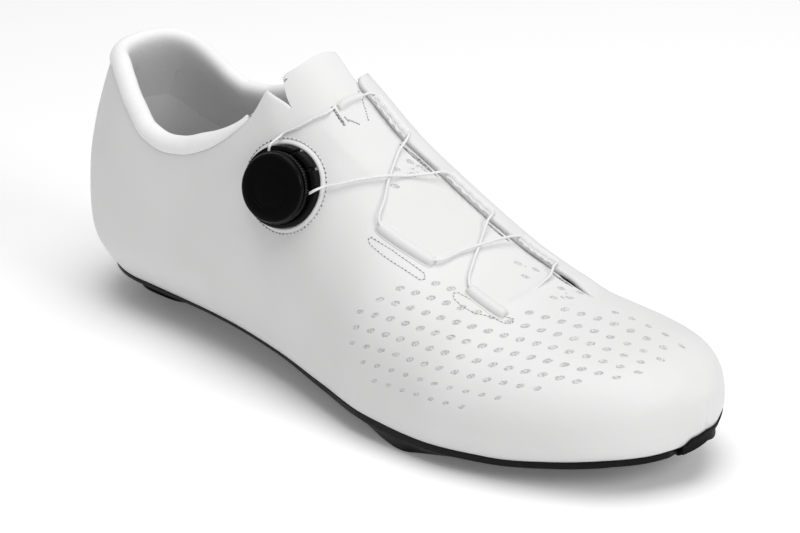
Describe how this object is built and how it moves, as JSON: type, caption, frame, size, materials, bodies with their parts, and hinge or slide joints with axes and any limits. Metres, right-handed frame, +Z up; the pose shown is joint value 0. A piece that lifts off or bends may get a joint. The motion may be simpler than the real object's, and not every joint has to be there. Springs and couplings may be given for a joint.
{
  "type": "cycling shoe",
  "caption": "White road cycling shoe for the right foot: a one-piece wrap upper closed by a lace dial, on a stiff black sole with rubber pads at heel and toe.",
  "frame": {"origin": "on the floor under the middle of the shoe's box", "axes": "+X from the heel to the toe, +Y to the medial side of this right shoe, +Z up"},
  "size_m": [0.287, 0.0967, 0.1234],
  "materials": {
    "sole_composite": "black moulded composite, satin",
    "rubber": "black moulded rubber, matt",
    "upper_synthetic": "white coated synthetic leather, matt, with rows of small perforations",
    "lining_fabric": "white textile, soft",
    "tube_textile": "white woven textile",
    "lace_cord": "thin white braided line",
    "dial_plastic": "black moulded plastic, satin, knurled rim"
  },
  "bodies": {
    "root": {"outsole": "sole_composite", "heel_pad": "rubber", "toe_pad": "rubber", "upper": "upper_synthetic", "collar_padding": "lining_fabric", "insole": "lining_fabric", "guide_a": "upper_synthetic", "guide_b": "upper_synthetic", "guide_slit": "upper_synthetic", "tube_1": "tube_textile", "tube_2": "tube_textile", "tube_3": "tube_textile", "lace_1": "lace_cord", "lace_2": "lace_cord", "lace_3": "lace_cord", "lace_4": "lace_cord", "dial_base": "dial_plastic", "dial_knob": "dial_plastic"}
  },
  "joints": []
}
